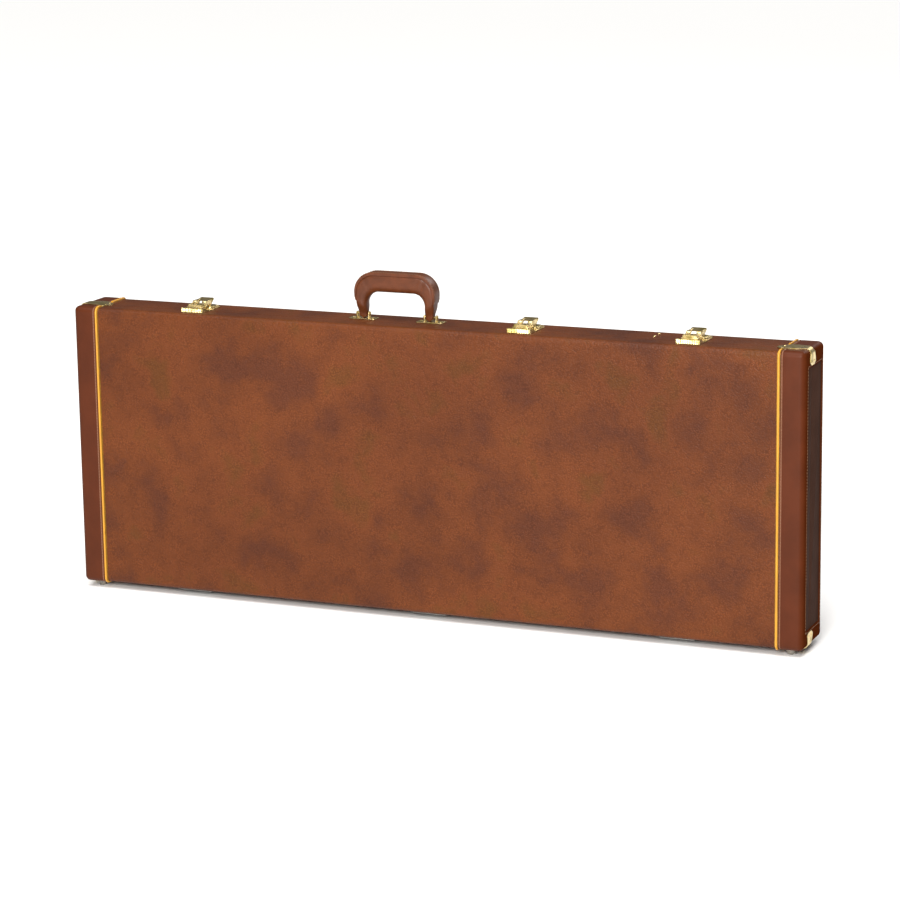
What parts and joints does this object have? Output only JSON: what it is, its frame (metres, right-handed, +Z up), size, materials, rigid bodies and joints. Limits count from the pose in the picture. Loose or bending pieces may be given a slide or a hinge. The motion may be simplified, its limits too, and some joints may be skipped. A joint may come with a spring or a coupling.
{
  "type": "guitar case",
  "caption": "Hard rectangular guitar case with a hinged lid, piped vinyl covering, draw latches, corner guards, folding leather handle and a plush-lined well.",
  "frame": {"origin": "on the floor under the middle of the case, which stands on its spine", "axes": "+X along the length towards the head end, -Y is the lid's face, +Z up through the handle"},
  "size_m": [1.2538, 0.1076, 0.554],
  "materials": {
    "cover_vinyl": "mottled brown grained vinyl, satin",
    "cap_vinyl": "plain red-brown vinyl, satin",
    "piping": "golden yellow welt",
    "plywood": "thin birch plywood",
    "plush": "short-pile plush",
    "brass": "polished brass plate",
    "nickel": "nickel-plated dome",
    "hinge_steel": "brass-plated steel",
    "handle_leather": "smooth wrapped leather, light gloss"
  },
  "bodies": {
    "body": {"back_lining": "plush", "body_cover": "cover_vinyl", "body_end_cap_left": "cap_vinyl", "body_end_cap_right": "cap_vinyl", "body_foot_left": "nickel", "body_foot_right": "nickel", "body_piping_left": "piping", "body_piping_right": "piping", "body_seam_guard_bottom_left": "brass", "body_seam_guard_bottom_right": "brass", "body_seam_guard_top_left": "brass", "body_seam_guard_top_right": "brass", "body_shell": "plywood", "compartment_lid": "plush", "compartment_walls": "plush", "foam_body_upper": "plush", "foam_head_upper": "plush", "foam_hinge_side": "plush", "handle_bracket_left": "brass", "handle_bracket_right": "brass", "handle_pin_left": "brass", "handle_pin_right": "brass", "hinge_body_leaf_left": "hinge_steel", "hinge_body_leaf_middle": "hinge_steel", "hinge_body_leaf_right": "hinge_steel", "latch_base_left": "brass", "latch_base_middle": "brass", "latch_base_right": "brass", "latch_pin_left": "brass", "latch_pin_middle": "brass", "latch_pin_right": "brass", "neck_rest": "plush", "seam_tongue": "plywood"},
    "lid": {"hinge_lid_leaf_left": "hinge_steel", "hinge_lid_leaf_middle": "hinge_steel", "hinge_lid_leaf_right": "hinge_steel", "latch_keeper_left": "brass", "latch_keeper_middle": "brass", "latch_keeper_right": "brass", "lid_cover": "cover_vinyl", "lid_end_cap_left": "cap_vinyl", "lid_end_cap_right": "cap_vinyl", "lid_foot_left": "nickel", "lid_foot_right": "nickel", "lid_lining": "plush", "lid_piping_left": "piping", "lid_piping_right": "piping", "lid_seam_guard_bottom_left": "brass", "lid_seam_guard_bottom_right": "brass", "lid_seam_guard_top_left": "brass", "lid_seam_guard_top_right": "brass", "lid_shell": "plywood"},
    "handle": {"handle_grip": "handle_leather"},
    "lever_left": {"latch_lever_left": "brass"},
    "claw_left": {"latch_claw_left": "brass"},
    "lever_middle": {"latch_lever_middle": "brass"},
    "claw_middle": {"latch_claw_middle": "brass"},
    "lever_right": {"latch_lever_right": "brass"},
    "claw_right": {"latch_claw_right": "brass"}
  },
  "joints": [
    {"name": "lid_swing", "type": "hinge", "parent": "body", "child": "lid", "pos_m": [0, -0.016, 0.0079], "axis": [1, 0, 0], "range_deg": [0, 105]},
    {"name": "handle_fold", "type": "hinge", "parent": "body", "child": "handle", "pos_m": [-0.067, 0.005, 0.4853], "axis": [1, 0, 0], "range_deg": [-75, 75]},
    {"name": "latch_lever_left", "type": "hinge", "parent": "body", "child": "lever_left", "pos_m": [-0.412, -0.012, 0.483], "axis": [1, 0, 0], "range_deg": [0, 95]},
    {"name": "latch_claw_left", "type": "hinge", "parent": "lever_left", "child": "claw_left", "pos_m": [-0.412, -0.005, 0.484], "axis": [1, 0, 0], "range_deg": [-91, 0]},
    {"name": "latch_lever_middle", "type": "hinge", "parent": "body", "child": "lever_middle", "pos_m": [0.158, -0.012, 0.483], "axis": [1, 0, 0], "range_deg": [0, 95]},
    {"name": "latch_claw_middle", "type": "hinge", "parent": "lever_middle", "child": "claw_middle", "pos_m": [0.158, -0.005, 0.484], "axis": [1, 0, 0], "range_deg": [-91, 0]},
    {"name": "latch_lever_right", "type": "hinge", "parent": "body", "child": "lever_right", "pos_m": [0.435, -0.012, 0.483], "axis": [1, 0, 0], "range_deg": [0, 95]},
    {"name": "latch_claw_right", "type": "hinge", "parent": "lever_right", "child": "claw_right", "pos_m": [0.435, -0.005, 0.484], "axis": [1, 0, 0], "range_deg": [-91, 0]}
  ],
  "couplings": [
    {"joint": "latch_claw_left", "follows": "latch_lever_left", "ratio": -0.95},
    {"joint": "latch_claw_middle", "follows": "latch_lever_middle", "ratio": -0.95},
    {"joint": "latch_claw_right", "follows": "latch_lever_right", "ratio": -0.95}
  ]
}
